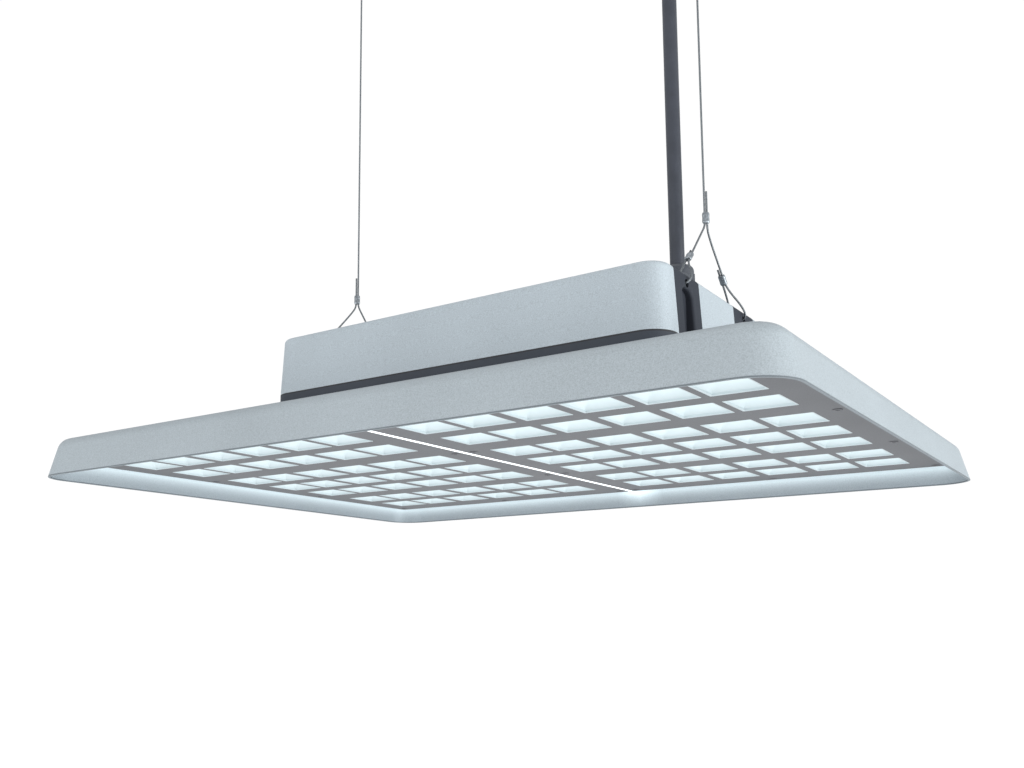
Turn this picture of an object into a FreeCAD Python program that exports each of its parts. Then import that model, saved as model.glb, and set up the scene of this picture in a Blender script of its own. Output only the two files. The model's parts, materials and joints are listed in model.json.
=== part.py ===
import FreeCAD, Part
import math
import os
import re

import Sketcher

# A rectangular LED high-bay luminaire that hangs level from two wire ropes. Millimetres, +Z up.
# The origin is the centre of the hood's rim plane, X runs along the long side, and the
# ceiling that carries the two anchors and the cable rose is the plane z = ceiling_height.
# Every size that drives the model is in the sheet "Sizes"; expressions name its aliases.

os.makedirs("parts", exist_ok=True)
doc = FreeCAD.newDocument("LedHighBay")
V = FreeCAD.Vector

SIZES = {
    # lengths of cutting tools: right through a piece, and past its surface
    "through": 60, "spare": 5,
    # hood: a drafted pan, open downwards, with softly rounded upper edges
    "hood_length": 600, "hood_width": 475, "hood_height": 31.5, "rim_radius": 27,
    "hood_draft": 15.1, "hood_edge_round": 11, "hood_wall": 1.8,
    # light modules, one each side of the centre line
    "plate_height": 13.2, "plate_thickness": 1.5, "plate_gap": 4.2,
    "plate_outer": 283, "plate_depth": 430, "plate_corner": 3,
    "module_offset": 142.1, "window_length": 34.2, "window_width": 35.8, "window_corner": 0.8,
    "column_inner": 20.9, "column_middle": 62.7, "column_outer": 102,
    "row_inner": 52.1, "row_middle": 114.5, "row_outer": 166.6,
    "reflector_length": 258, "reflector_depth": 400, "reflector_skirt": 1.2,
    "cup_back": 10, "cup_wall": 0.5, "cup_gap": 0.3,
    "diffuser_gap": 0.1, "diffuser_depth": 428, "diffuser_flange": 8, "diffuser_thickness": 1.5,
    "board_length": 254, "board_depth": 392, "board_thickness": 1.6, "board_height": 24.4,
    "chip_size": 5, "chip_thickness": 0.8, "pad_inset": 4,
    # fasteners of the plates and boards
    "post_radius": 3.5, "post_bore_depth": 8, "plate_head_radius": 3,
    "plate_head_height": 0.6, "plate_shank_radius": 1.5, "plate_shank_length": 7,
    "post_near": 8.6, "post_far": 275.6, "post_row_inner": 69.5, "post_row_outer": 207,
    "board_screw_row": 83, "board_screw_inner": 59.75, "board_head_radius": 3.5,
    "board_head_height": 2.2, "board_shank_radius": 2, "board_screw_depth": 5.2,
    "screw_clearance": 2.2,
    # heat sink between hood and gear tray, fins across the luminaire
    "sink_length": 313, "sink_width": 176, "sink_base": 6.2, "fin_pitch": 11,
    "fin_thickness": 2.4, "end_fin": 6, "tray_height": 62, "fins_each_side": 13,
    "tray_screw_bore": 10,
    # gear tray and driver cover: one drafted box outline, split by a gasket
    "cover_height": 75.3, "cover_top": 123.5, "cover_length": 356, "cover_width": 198,
    "cover_radius": 19, "cover_draft": 3.5, "cover_edge_round": 3.5, "cover_wall": 1.5,
    "tray_wall": 2, "gasket_thickness": 1.2, "gasket_width": 3,
    "pillar_radius": 5, "pillar_x": 142, "pillar_y": 82, "cover_head_radius": 4,
    "cover_head_height": 2.2, "cover_shank_radius": 2, "cover_shank_length": 12,
    # four end brackets standing on the hood, flush with the cover's end faces
    "bracket_y": 54.3, "bracket_width": 42, "bracket_back": 156.5, "bracket_gap": 0.3,
    "bracket_top_round": 3.4, "eye_height": 116, "eye_radius": 3, "recess_width": 17,
    "recess_depth": 7, "recess_top": 112, "recess_arch": 6, "recess_edge": 2,
    "well_front": 169.3, "well_back": 163, "well_width": 15, "well_floor": 108.5,
    "well_corner": 1.5,
    "bracket_screw_low": 40, "bracket_screw_high": 54, "bracket_screw_radius": 2.5,
    "bracket_head_radius": 4.2, "bracket_head_height": 4.5,
    # drivers, terminal block and wiring in the cover
    "driver_length": 200, "driver_width": 60, "driver_height": 36, "driver_x": -10,
    "driver_y": 44, "driver_flange": 12, "flange_thickness": 2, "driver_edge": 3,
    "driver_screw_y": 18, "tray_screw_x": 153.5, "tray_screw_y": 20, "tray_shank_length": 12,
    "driver_screw_radius": 2, "driver_head_radius": 3.5, "driver_head_height": 2.2,
    "terminal_length": 40, "terminal_width": 18, "terminal_height": 18, "terminal_hole": 2,
    "lead_radius": 1.5, "lead_x": 126.5, "lead_hole": 3, "lead_gap": 0.5, "lead_level": 74,
    "driver_lead_level": 80, "core_radius": 1.3, "core_spread_top": 3.4, "core_spread_foot": 8,
    # cable, gland and ceiling rose
    "cable_x": 146, "cable_radius": 5.5, "cable_end": 146, "gland_hex": 13.4,
    "gland_thread": 10, "gland_play": 0.1, "gland_foot": 110, "gland_hex_top": 130, "spigot_radius": 9.6,
    "spigot_top": 136, "gland_bore": 5.8, "nut_hex_top": 141, "nut_top": 149,
    "dome_radius": 11.9, "dome_round": 4.5, "mouth_radius": 6.3, "seal_top": 142.5,
    "seal_bore": 5.6, "locknut_height": 4.5, "locknut_hex": 13, "stub_top": 144.5,
    "stub_foot": 98, "rose_x": 128, "rose_side": 60, "rose_height": 22, "rose_wall": 1.8,
    "rose_mouth": 9.6, "rose_screw": 20, "rose_corner": 9, "rose_boss": 5,
    # wire suspension
    "ceiling_height": 552, "wire_x": 168.4, "wire_end_gap": 0.5, "wire_radius": 0.75, "wire_pair": 1.7,
    "pin_across_height": 528, "pin_along_height": 514, "pin_radius": 1.5,
    "pin_bore": 1.55, "link_side": 6, "link_end": 4, "ear_gap": 6.4, "ear_thickness": 3.2,
    "pin_head_radius": 2.6, "pin_head": 1.2,
    "anchor_length": 37, "anchor_width": 17, "anchor_corner": 8, "anchor_flange": 3,
    "anchor_ear_width": 10,
    "anchor_screw": 12.5, "ceiling_screw_radius": 2.1,
    "grip_radius": 6.5, "grip_ear_overlap": 1, "grip_foot": 494, "grip_top": 508, "grip_ear_width": 10,
    "nozzle_collar": 4.5, "nozzle_foot": 487, "nozzle_shoulder": 491.5, "nozzle_stem": 3,
    "nozzle_stem_top": 499, "nozzle_bore": 1, "grip_bore": 3.1, "grip_bore_top": 501.5,
    "wire_bore": 0.85, "wire_top": 504.5,
    "ferrule_length": 8.2, "ferrule_width": 5.4, "ferrule_depth": 3.6, "ferrule_round": 1.6,
    "ferrule_slot": 0.8, "apex_height": 182, "apex_bend_height": 176, "tail_top": 200,
    "leg_ferrule_y": 31.7, "leg_ferrule_height": 143, "loop_top_y": 48.9,
    "loop_top_height": 123.9, "loop_height": 116.4, "loop_outer": 177.6, "loop_inner": 167,
}

sheet = doc.addObject("Spreadsheet::Sheet", "Sizes")
for row, (alias, value) in enumerate(SIZES.items(), start=1):
    sheet.set(f"A{row}", alias)
    sheet.set(f"B{row}", str(value))
    sheet.setAlias(f"B{row}", alias)
doc.recompute()

sub_parts = []


def bound(text):
    """An expression in which every alias of the sheet is written in full."""
    return re.sub(r"[a-z_]+", lambda m: "Sizes." + m[0] if m[0] in SIZES else m[0], str(text))


def value(text):
    """The same expression as a number, for shapes and choices that this script makes."""
    return float(sheet.evalExpression(bound(text)))


def bind(item, **expressions):
    """Binds properties; a double underscore stands for a dot."""
    for name, text in expressions.items():
        item.setExpression(name.replace("__", "."), bound(text))
    return item


def place(item, x="0", y="0", z="0"):
    return bind(item, Placement__Base__x=x, Placement__Base__y=y, Placement__Base__z=z)


def name_part(item, label):
    item.Label = label
    sub_parts.append(item)
    return item


def box(length, width, height, x="0", y="0", z="0"):
    """A box centred on x and y, standing on z."""
    item = doc.addObject("Part::Box", "Block")
    bind(item, Length=length, Width=width, Height=height)
    return place(item, f"{x} - ({length}) / 2", f"{y} - ({width}) / 2", z)


def rod(radius, height, x="0", y="0", z="0", along="z"):
    """A cylinder from the given point, along +x, +y or +z."""
    item = doc.addObject("Part::Cylinder", "Rod")
    bind(item, Radius=radius, Height=height)
    turns = {"x": (V(0, 1, 0), 90), "y": (V(1, 0, 0), -90), "z": (V(0, 0, 1), 0)}
    item.Placement.Rotation = FreeCAD.Rotation(*turns[along])
    return place(item, x, y, z)


def hexagon(radius, height, x="0", y="0", z="0"):
    """A hexagonal prism, radius over its corners."""
    item = doc.addObject("Part::Prism", "Hexagon")
    item.Polygon = 6
    bind(item, Circumradius=radius, Height=height)
    return place(item, x, y, z)


def union(items):
    item = doc.addObject("Part::MultiFuse", "Union")
    item.Shapes = items
    return item


def group(items):
    """Separate solids kept as one group."""
    item = doc.addObject("Part::Compound", "Group")
    item.Links = items
    return item


def cut(base, tool):
    item = doc.addObject("Part::Cut", "Cut")
    item.Base = base
    item.Tool = tool
    return item


def rounded(base, radius, chosen):
    """Rounds the edges of base for which chosen(edge) is true."""
    doc.recompute()
    item = doc.addObject("Part::Fillet", "Rounded")
    item.Base = base
    size = value(radius)
    edges = [i for i, edge in enumerate(base.Shape.Edges, start=1) if chosen(edge)]
    item.Edges = [(i, size, size) for i in edges]
    return item


def mirrored(source, label):
    """The same piece on the other side of the centre line."""
    item = doc.addObject("Part::Mirroring", "Mirror")
    item.Source = source
    item.Base = V(0, 0, 0)
    item.Normal = V(1, 0, 0)
    return name_part(item, label)


def upright(edge):
    """True for a straight edge along Z."""
    direction = edge.tangentAt(edge.FirstParameter)
    return edge.Curve.TypeId == "Part::GeomLine" and abs(direction.z) > 0.999


# ---------------------------------------------------------------- bodies with sketches

def new_body(label):
    return name_part(doc.addObject("PartDesign::Body", "Body"), label)


def plane_of(body, role):
    return next(f for f in body.Origin.OriginFeatures if f.Role == role)


def new_sketch(body, role, lift="0"):
    """An empty sketch on one of the body's own origin planes, lifted along its normal."""
    sketch = body.newObject("Sketcher::SketchObject", "Sketch")
    sketch.AttachmentSupport = [(plane_of(body, role), "")]
    sketch.MapMode = "FlatFace"
    sketch.setExpression("AttachmentOffset.Base.z", bound(lift))
    return sketch


def hold(sketch, name, expression, kind, *where):
    """Adds a dimension, names it and binds it to the sheet."""
    index = sketch.addConstraint(Sketcher.Constraint(kind, *where, value(expression)))
    sketch.renameConstraint(index, name)
    sketch.setExpression(f"Constraints.{name}", bound(expression))


def rounded_outline(body, length, width, radius, lift="0"):
    """A sketch of a rectangle with four equal round corners, centred on the origin."""
    sketch = new_sketch(body, "XY_Plane", lift)
    a, b, r = value(length) / 2, value(width) / 2, value(radius)
    ends = [
        (V(r - a, b, 0), V(a - r, b, 0)), (V(a, b - r, 0), V(a, r - b, 0)),
        (V(a - r, -b, 0), V(r - a, -b, 0)), (V(-a, r - b, 0), V(-a, b - r, 0)),
    ]
    corners = [(a - r, b - r, 0), (a - r, r - b, 270), (r - a, r - b, 180), (r - a, b - r, 90)]
    for (start, end), (x, y, angle) in zip(ends, corners):
        sketch.addGeometry(Part.LineSegment(start, end), False)
        circle = Part.Circle(V(x, y, 0), V(0, 0, 1), r)
        first = math.radians(angle)
        sketch.addGeometry(Part.ArcOfCircle(circle, first, first + math.pi / 2), False)
    for side in range(4):
        line, arc, following = 2 * side, 2 * side + 1, (2 * side + 2) % 8
        sketch.addConstraint(Sketcher.Constraint("Tangent", line, 2, arc, 2))
        sketch.addConstraint(Sketcher.Constraint("Tangent", arc, 1, following, 1))
        direction = "Vertical" if side % 2 else "Horizontal"
        sketch.addConstraint(Sketcher.Constraint(direction, line))
    for arc in (3, 5, 7):
        sketch.addConstraint(Sketcher.Constraint("Equal", 1, arc))
    sketch.addConstraint(Sketcher.Constraint("Symmetric", 0, 1, 4, 1, -1, 1))
    hold(sketch, "Across", length, "DistanceX", 6, 1, 2, 1)
    hold(sketch, "Deep", width, "DistanceY", 4, 1, 0, 1)
    hold(sketch, "Corner", radius, "Radius", 1)
    return sketch


def level_edges(shape, height):
    """The names of the edges that lie in one level plane."""
    names = []
    for i, edge in enumerate(shape.Edges, start=1):
        limits = edge.BoundBox
        if abs(limits.ZMin - height) < 0.01 and abs(limits.ZMax - height) < 0.01:
            names.append(f"Edge{i}")
    return names


def drafted_block(length, width, low, high, draft, radius, edge):
    """A block whose walls lean in by the draft angle from low to high, upper edges rounded."""
    body = doc.addObject("PartDesign::Body", "Body")
    pad = body.newObject("PartDesign::Pad", "Pad")
    pad.Profile = rounded_outline(body, length, width, radius, low)
    bind(pad, Length=f"({high}) - ({low})", TaperAngle=f"-({draft})")
    doc.recompute()
    if edge:
        item = body.newObject("PartDesign::Fillet", "EdgeRound")
        item.Base = (pad, level_edges(pad.Shape, value(high)))
        bind(item, Radius=edge)
    doc.recompute()
    return body


def drafted_shell(length, width, low, high, draft, radius, edge, wall):
    """A pan, open downwards: one drafted block less another, a wall smaller all round."""
    outer = drafted_block(length, width, low, high, draft, radius, edge)
    inner = drafted_block(
        f"{length} - 2 * {wall}", f"{width} - 2 * {wall}", low, f"{high} - {wall}",
        draft, f"{radius} - {wall}", f"{edge} - {wall}")
    return cut(outer, inner)


# ---------------------------------------------------------------- tubes along routes

def sweep_route(points, bends):
    """A wire of straight runs joined by tangent arcs, one radius per inner point."""
    edges = []
    start = points[0]
    for before, corner, after, radius in zip(points, points[1:], points[2:], bends):
        back = (before - corner).normalize()
        ahead = (after - corner).normalize()
        turn = math.pi - back.getAngle(ahead)
        reach = radius * math.tan(turn / 2)
        middle = (back + ahead).normalize() * (radius / math.cos(turn / 2) - radius)
        first, last = corner + back * reach, corner + ahead * reach
        edges.append(Part.LineSegment(start, first).toShape())
        edges.append(Part.Arc(first, corner + middle, last).toShape())
        start = last
    edges.append(Part.LineSegment(start, points[-1]).toShape())
    return Part.Wire(edges)


def tube(points, bends, radius):
    """A round bar along the route; its volume is checked against section times length."""
    route = sweep_route(points, bends)
    ring = Part.Wire(Part.Circle(points[0], points[1] - points[0], radius).toShape())
    shape = route.makePipeShell([ring], True, False)
    expected = math.pi * radius**2 * route.Length
    assert abs(shape.Volume / expected - 1) < 0.01, "the tube lost volume"
    return shape


def feature(shape, label=None):
    item = doc.addObject("Part::Feature", "Piece")
    item.Shape = shape
    if label:
        name_part(item, label)
    return item


# ---------------------------------------------------------------- the hood

board_screws_x = ["-module_offset", "-board_screw_inner", "board_screw_inner", "module_offset"]
board_screw_places = [(x, y) for x in board_screws_x for y in ("-board_screw_row", "board_screw_row")]
# Each board's lead comes down through the sink and the hood at one of these two places.
lead_places = [("-lead_x", "driver_y"), ("lead_x", "-driver_y")]

hood_tools = [rod("screw_clearance", "2 * spare", x, y, "board_height")
              for x, y in board_screw_places]
hood_tools += [rod("lead_hole", "2 * spare", x, y, "board_height") for x, y in lead_places]
hood = cut(
    drafted_shell("hood_length", "hood_width", "0", "hood_height", "hood_draft",
                  "rim_radius", "hood_edge_round", "hood_wall"),
    group(hood_tools))
name_part(hood, "hood")

# ---------------------------------------------------------------- the two light modules

columns = [f"{sign}{name}" for name in ("column_inner", "column_middle", "column_outer")
           for sign in ("", "-")]
rows = ["0"] + [f"{sign}{name}" for name in ("row_inner", "row_middle", "row_outer")
                for sign in ("", "-")]
cells = [(f"module_offset + {x}", y) for x in columns for y in rows]
post_places = [(x, f"{sign}{y}") for x in ("post_near", "post_far")
               for y in ("post_row_inner", "post_row_outer") for sign in ("", "-")]
post_places += [("module_offset", f"{sign}post_row_outer") for sign in ("", "-")]
module_screws = [(x, y) for x, y in board_screw_places if not x.startswith("-")]

plate_length = "(plate_outer - plate_gap / 2)"
plate_centre = "(plate_outer + plate_gap / 2) / 2"
window = rounded(box("window_length", "window_width", "plate_thickness"), "window_corner", upright)


def copies(source, places, height):
    """Copies of one solid at the given places, which stay linked to it."""
    items = []
    for x, y in places:
        item = doc.addObject("App::Link", "Copy")
        item.LinkedObject = source
        items.append(place(item, x, y, height))
    return items


plate = cut(
    rounded(box(plate_length, "plate_depth", "plate_thickness", plate_centre, "0", "plate_height"),
            "plate_corner", upright),
    group(copies(window, cells, "plate_height")
          + [rod("plate_shank_radius", "2 * spare", x, y, "plate_height - spare")
             for x, y in post_places]))
name_part(plate, "grid_plate_right")
mirrored(plate, "grid_plate_left")


def frustum(inset, back, name):
    """A four-sided cup or its hollow, mouth down, whose mouth is a window less the inset."""
    item = doc.addObject("Part::Wedge", name)
    half_length = f"(window_length / 2 - ({inset}))"
    half_width = f"(window_width / 2 - ({inset}))"
    bind(item, Xmin=f"-{half_length}", Xmax=half_length, Zmin=f"-{half_width}",
         Zmax=half_width, X2min=f"-({back}) / 2", X2max=f"({back}) / 2",
         Z2min=f"-({back}) / 2", Z2max=f"({back}) / 2",
         Ymin="0", Ymax="board_height - plate_height")
    item.Placement.Rotation = FreeCAD.Rotation(V(1, 0, 0), 90)
    return group([item])


plate_top = "(plate_height + plate_thickness)"
cup_outside = frustum("cup_gap", "cup_back + 2 * cup_wall", "CupOutside")
cup_inside = frustum("cup_gap + cup_wall", "cup_back", "CupInside")
skirt = box("reflector_length", "reflector_depth", "reflector_skirt",
            "module_offset", "0", plate_top)
reflector = cut(union([skirt] + copies(cup_outside, cells, "plate_height")),
                group(copies(cup_inside, cells, "plate_height")))
name_part(reflector, "reflector_right")
mirrored(reflector, "reflector_left")

# An opal strip fills the gap between the plates and lies on their inner edges.
name_part(union([
    box("plate_gap - 2 * diffuser_gap", "diffuser_depth", "plate_thickness",
        "0", "0", "plate_height"),
    box("diffuser_flange", "diffuser_depth", "diffuser_thickness", "0", "0", plate_top)]),
    "centre_diffuser")

board = cut(
    box("board_length", "board_depth", "board_thickness", "module_offset", "0", "board_height"),
    group([rod("screw_clearance", "2 * spare", x, y, "board_height - spare")
           for x, y in module_screws]))
name_part(board, "led_board_right")
mirrored(board, "led_board_left")

chip = group([box("chip_size", "chip_size", "chip_thickness")])
chips = group(copies(chip, cells, "board_height - chip_thickness"))
name_part(chips, "led_chips_right")
mirrored(chips, "led_chips_left")

pad_tools = [rod("screw_clearance", "2 * spare", x, y, "board_height") for x, y in module_screws]
pad_tools += [rod("lead_hole", "2 * spare", x, y, "board_height") for x, y in (
    ("lead_x", "-driver_y"), ("lead_x", "driver_y"))]
pad_foot = "(board_height + board_thickness)"
pad = cut(
    box("board_length - 2 * pad_inset", "board_depth - 2 * pad_inset",
        f"hood_height - hood_wall - {pad_foot}", "module_offset", "0", pad_foot),
    group(pad_tools))
name_part(pad, "thermal_pad_right")
mirrored(pad, "thermal_pad_left")

all_posts = post_places + [(f"-{x}", y) for x, y in post_places]
posts = cut(
    group([rod("post_radius", f"hood_height - hood_wall - {plate_top}", x, y, plate_top)
           for x, y in all_posts]),
    group([rod("plate_shank_radius", "post_bore_depth", x, y, plate_top)
           for x, y in all_posts]))
name_part(posts, "plate_posts")


def screw(head_radius, head_height, shank_radius, shank_length, x, y, z, head_up):
    """A screw whose head bears on the level z, its head above or below that level."""
    head_foot, shank_foot = (z, f"{z} - ({shank_length})")
    if not head_up:
        head_foot, shank_foot = (f"{z} - ({head_height})", z)
    head = rod(head_radius, head_height, x, y, head_foot)
    return union([head, rod(shank_radius, shank_length, x, y, shank_foot)])


name_part(group([
    screw("plate_head_radius", "plate_head_height", "plate_shank_radius",
          "plate_shank_length", x, y, "plate_height", False) for x, y in all_posts]),
    "plate_screws")
name_part(group([
    screw("board_head_radius", "board_head_height", "board_shank_radius",
          "hood_height + board_screw_depth - board_height", x, y, "board_height", False)
    for x, y in board_screw_places]), "board_screws")

# ---------------------------------------------------------------- heat sink and gear tray

bracket_places = [(sign_x, sign_y) for sign_x in ("", "-") for sign_y in ("-", "")]
end_fin_x = "(sink_length - end_fin) / 2"
tray_screw_places = [(f"{a}tray_screw_x", f"{b}tray_screw_y") for a, b in bracket_places]
fin_height = "tray_height - hood_height - sink_base"
fin_foot = "hood_height + sink_base"
fin_count = int(value("fins_each_side"))
fins = [box("fin_thickness", "sink_width", fin_height, f"{k} * fin_pitch", "0", fin_foot)
        for k in range(-fin_count, fin_count + 1)]
fins += [box("end_fin", "sink_width", fin_height, f"{sign}{end_fin_x}", "0", fin_foot)
         for sign in ("", "-")]
sink_base = box("sink_length", "sink_width", "sink_base", "0", "0", "hood_height")
sink_tools = [rod("board_shank_radius", "board_screw_depth", x, y, "hood_height")
              for x, y in board_screw_places]
sink_tools += [rod("lead_hole", "sink_base", x, y, "hood_height") for x, y in lead_places]
sink_tools += [rod("cover_shank_radius", "tray_screw_bore", x, y, "tray_height - tray_screw_bore")
               for x, y in tray_screw_places]
bracket_screw_heights = ("bracket_screw_low", "bracket_screw_high")
for side_x, side_y in bracket_places:
    fin_start = "-sink_length / 2" if side_x else "sink_length / 2 - end_fin"
    sink_tools += [rod("bracket_screw_radius", "end_fin", fin_start, f"{side_y}bracket_y",
                       height, "x") for height in bracket_screw_heights]
name_part(cut(union([sink_base] + fins), group(sink_tools)), "heat_sink")

floor_top = "(tray_height + tray_wall)"
tray_top = "(cover_height - gasket_thickness)"
pillar_places = [(f"{a}pillar_x", f"{b}pillar_y") for a, b in bracket_places]
driver_places = ["-driver_y", "driver_y"]
driver_screw_places = [
    (f"driver_x {a} (driver_length + driver_flange) / 2", f"{y} {b} driver_screw_y")
    for y in driver_places for a in "+-" for b in "+-"]


def bracket_slots(low, high):
    """The room for the four end brackets, cut out of the tray, gasket and cover."""
    slots = []
    for side_x, side_y in bracket_places:
        slots.append(box(
            "cover_length / 2", "bracket_width + 2 * bracket_gap", f"{high} - ({low})",
            f"{side_x}(bracket_back - bracket_gap + cover_length / 4)",
            f"{side_y}bracket_y", low))
    return slots


tray_shell = cut(
    drafted_block("cover_length", "cover_width", "tray_height", tray_top, "0",
                  "cover_radius", None),
    drafted_block("cover_length - 2 * tray_wall", "cover_width - 2 * tray_wall",
                  floor_top, "cover_height", "0", "cover_radius - tray_wall", None))
pillars = [rod("pillar_radius", f"cover_top - cover_wall - {floor_top}", x, y, floor_top)
           for x, y in pillar_places]
tray_tools = bracket_slots("tray_height - spare", "cover_height")
tray_tools += [rod("cover_shank_radius", "cover_shank_length",
                   x, y, "cover_top - cover_shank_length")
               for x, y in pillar_places]
tray_tools += [rod("screw_clearance", "2 * spare", x, y, "tray_height - spare")
               for x, y in tray_screw_places]
tray_tools += [rod("lead_hole", "2 * spare", x, y, "tray_height - spare")
               for x, y in lead_places]
tray_tools += [rod("driver_screw_radius", "2 * spare", x, y, "tray_height - spare")
               for x, y in driver_screw_places]
name_part(cut(union([tray_shell] + pillars), group(tray_tools)), "gear_tray")
name_part(group([
    screw("board_head_radius", "board_head_height", "cover_shank_radius",
          "tray_shank_length", x, y, floor_top, True) for x, y in tray_screw_places]),
    "tray_screws")

gasket = cut(
    drafted_block("cover_length", "cover_width", tray_top, "cover_height", "0",
                  "cover_radius", None),
    group([drafted_block("cover_length - 2 * gasket_width", "cover_width - 2 * gasket_width",
                         "cover_height - spare", "cover_height + spare", "0",
                         "cover_radius - gasket_width", None)]
          + bracket_slots("cover_height - spare", "cover_height + spare")))
name_part(gasket, "cover_gasket")

# ---------------------------------------------------------------- driver cover

cover_tools = bracket_slots("cover_height - spare", "cover_top + spare")
cover_tools.append(rod("gland_thread + bracket_gap", "2 * spare", "cable_x", "0",
                       "cover_top - spare"))
cover_tools += [rod("screw_clearance", "2 * spare", x, y, "cover_top - spare")
                for x, y in pillar_places]
cover = cut(
    drafted_shell("cover_length", "cover_width", "cover_height", "cover_top", "cover_draft",
                  "cover_radius", "cover_edge_round", "cover_wall"),
    group(cover_tools))
name_part(cover, "driver_cover")
name_part(group([
    screw("cover_head_radius", "cover_head_height", "cover_shank_radius",
          "cover_shank_length", x, y, "cover_top", True) for x, y in pillar_places]),
    "cover_screws")

# ---------------------------------------------------------------- end brackets

face_x = "cover_length / 2"
face_top_x = "(cover_length / 2 - (cover_top - cover_height) * tan(cover_draft * 1 deg))"


def bracket_block():
    """The bracket's side profile, extruded across; its front is flush with the cover's end."""
    body = doc.addObject("PartDesign::Body", "Body")
    sketch = new_sketch(body, "XZ_Plane")
    corners = [("bracket_back", "hood_height"), (face_x, "hood_height"),
               (face_x, "cover_height"), (face_top_x, "cover_top"),
               ("bracket_back", "cover_top")]
    points = [V(value(x), value(y), 0) for x, y in corners]
    for start, end in zip(points, points[1:] + points[:1]):
        sketch.addGeometry(Part.LineSegment(start, end), False)
    for i in range(5):
        sketch.addConstraint(Sketcher.Constraint("Coincident", i, 2, (i + 1) % 5, 1))
    for i, (x, y) in enumerate(corners):
        hold(sketch, f"Out{i}", x, "DistanceX", -1, 1, i, 1)
        hold(sketch, f"Up{i}", y, "DistanceY", -1, 1, i, 1)
    pad = body.newObject("PartDesign::Pad", "Pad")
    pad.Profile = sketch
    pad.SideType = "Symmetric"
    bind(pad, Length="bracket_width")
    doc.recompute()
    return body


def end_bracket(label, turn, y):
    """A cast post with an eye for the wire loop, a well behind its bar and a front recess."""
    top_front = value("cover_top")
    block = rounded(bracket_block(), "bracket_top_round", lambda edge: (
        edge.BoundBox.ZMin > top_front - 0.01 and edge.BoundBox.XMin > value("well_front")
        and edge.BoundBox.YLength > 1))
    recess = rounded(
        box("recess_depth * 2", "recess_width", "recess_top - hood_height + spare",
            face_x, "0", "hood_height - spare"),
        "recess_arch",
        lambda edge: edge.BoundBox.ZMin > value("recess_top") - 0.01
        and edge.BoundBox.XLength > 1)
    well = rounded(
        box("well_front - well_back", "well_width", "cover_top - well_floor + spare",
            "(well_front + well_back) / 2", "0", "well_floor"),
        "well_corner", upright)
    open_block = rounded(cut(block, recess), "recess_edge", lambda edge: (
        edge.BoundBox.XMin > value(face_top_x) - 0.01
        and edge.BoundBox.YMin > -value("recess_width") / 2 - 0.01
        and edge.BoundBox.YMax < value("recess_width") / 2 + 0.01
        and edge.BoundBox.ZMax < value("recess_top") + 0.01
        and edge.BoundBox.ZMax > value("hood_height") + 1))
    tools = [well, rod("eye_radius", "through", "well_back + 1", "0", "eye_height", "x")]
    tools += [rod("bracket_screw_radius", "through", "bracket_back - spare", "0", height, "x")
              for height in bracket_screw_heights]
    item = cut(open_block, group(tools))
    item.Placement.Rotation = FreeCAD.Rotation(V(0, 0, 1), turn)
    item.setExpression("Placement.Base.y", bound(y))
    return name_part(item, label)


end_bracket("bracket_right_front", 0, "-bracket_y")
end_bracket("bracket_right_rear", 0, "bracket_y")
end_bracket("bracket_left_front", 180, "-bracket_y")
end_bracket("bracket_left_rear", 180, "bracket_y")

bracket_screws = []
seat = f"({face_x} - recess_depth)"
for side_x, side_y in bracket_places:
    for height in bracket_screw_heights:
        left = side_x == "-"
        head_start = f"-{seat} - bracket_head_height" if left else seat
        shank_start = f"-{seat}" if left else "sink_length / 2 - end_fin"
        shank_length = f"{seat} - sink_length / 2 + end_fin"
        bracket_screws.append(union([
            rod("bracket_head_radius", "bracket_head_height", head_start,
                f"{side_y}bracket_y", height, "x"),
            rod("bracket_screw_radius", shank_length, shank_start,
                f"{side_y}bracket_y", height, "x")]))
name_part(group(bracket_screws), "bracket_screws")

# ---------------------------------------------------------------- drivers and terminals


def driver(label, y):
    case = rounded(box("driver_length", "driver_width", "driver_height",
                       "driver_x", y, floor_top), "driver_edge", upright)
    foot = box("driver_length + 2 * driver_flange", "driver_width", "flange_thickness",
               "driver_x", y, floor_top)
    holes = [rod("driver_screw_radius", "spare", x, screw_y, floor_top)
             for x, screw_y in driver_screw_places]
    return name_part(cut(union([case, foot]), group(holes)), label)


driver("driver_front", "-driver_y")
driver("driver_rear", "driver_y")
name_part(group([
    screw("driver_head_radius", "driver_head_height", "driver_screw_radius",
          "flange_thickness + tray_wall", x, y, f"{floor_top} + flange_thickness", True)
    for x, y in driver_screw_places]), "driver_screws")

terminal = cut(
    box("terminal_length", "terminal_width", "terminal_height", "cable_x", "0", floor_top),
    group([rod("terminal_hole", "spare", f"cable_x + {k} * terminal_length / 5", "0",
               f"{floor_top} + terminal_height - spare") for k in range(-2, 3)]))
name_part(terminal, "terminal_block")


def numbers(*texts):
    return V(*(value(text) for text in texts))


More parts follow.
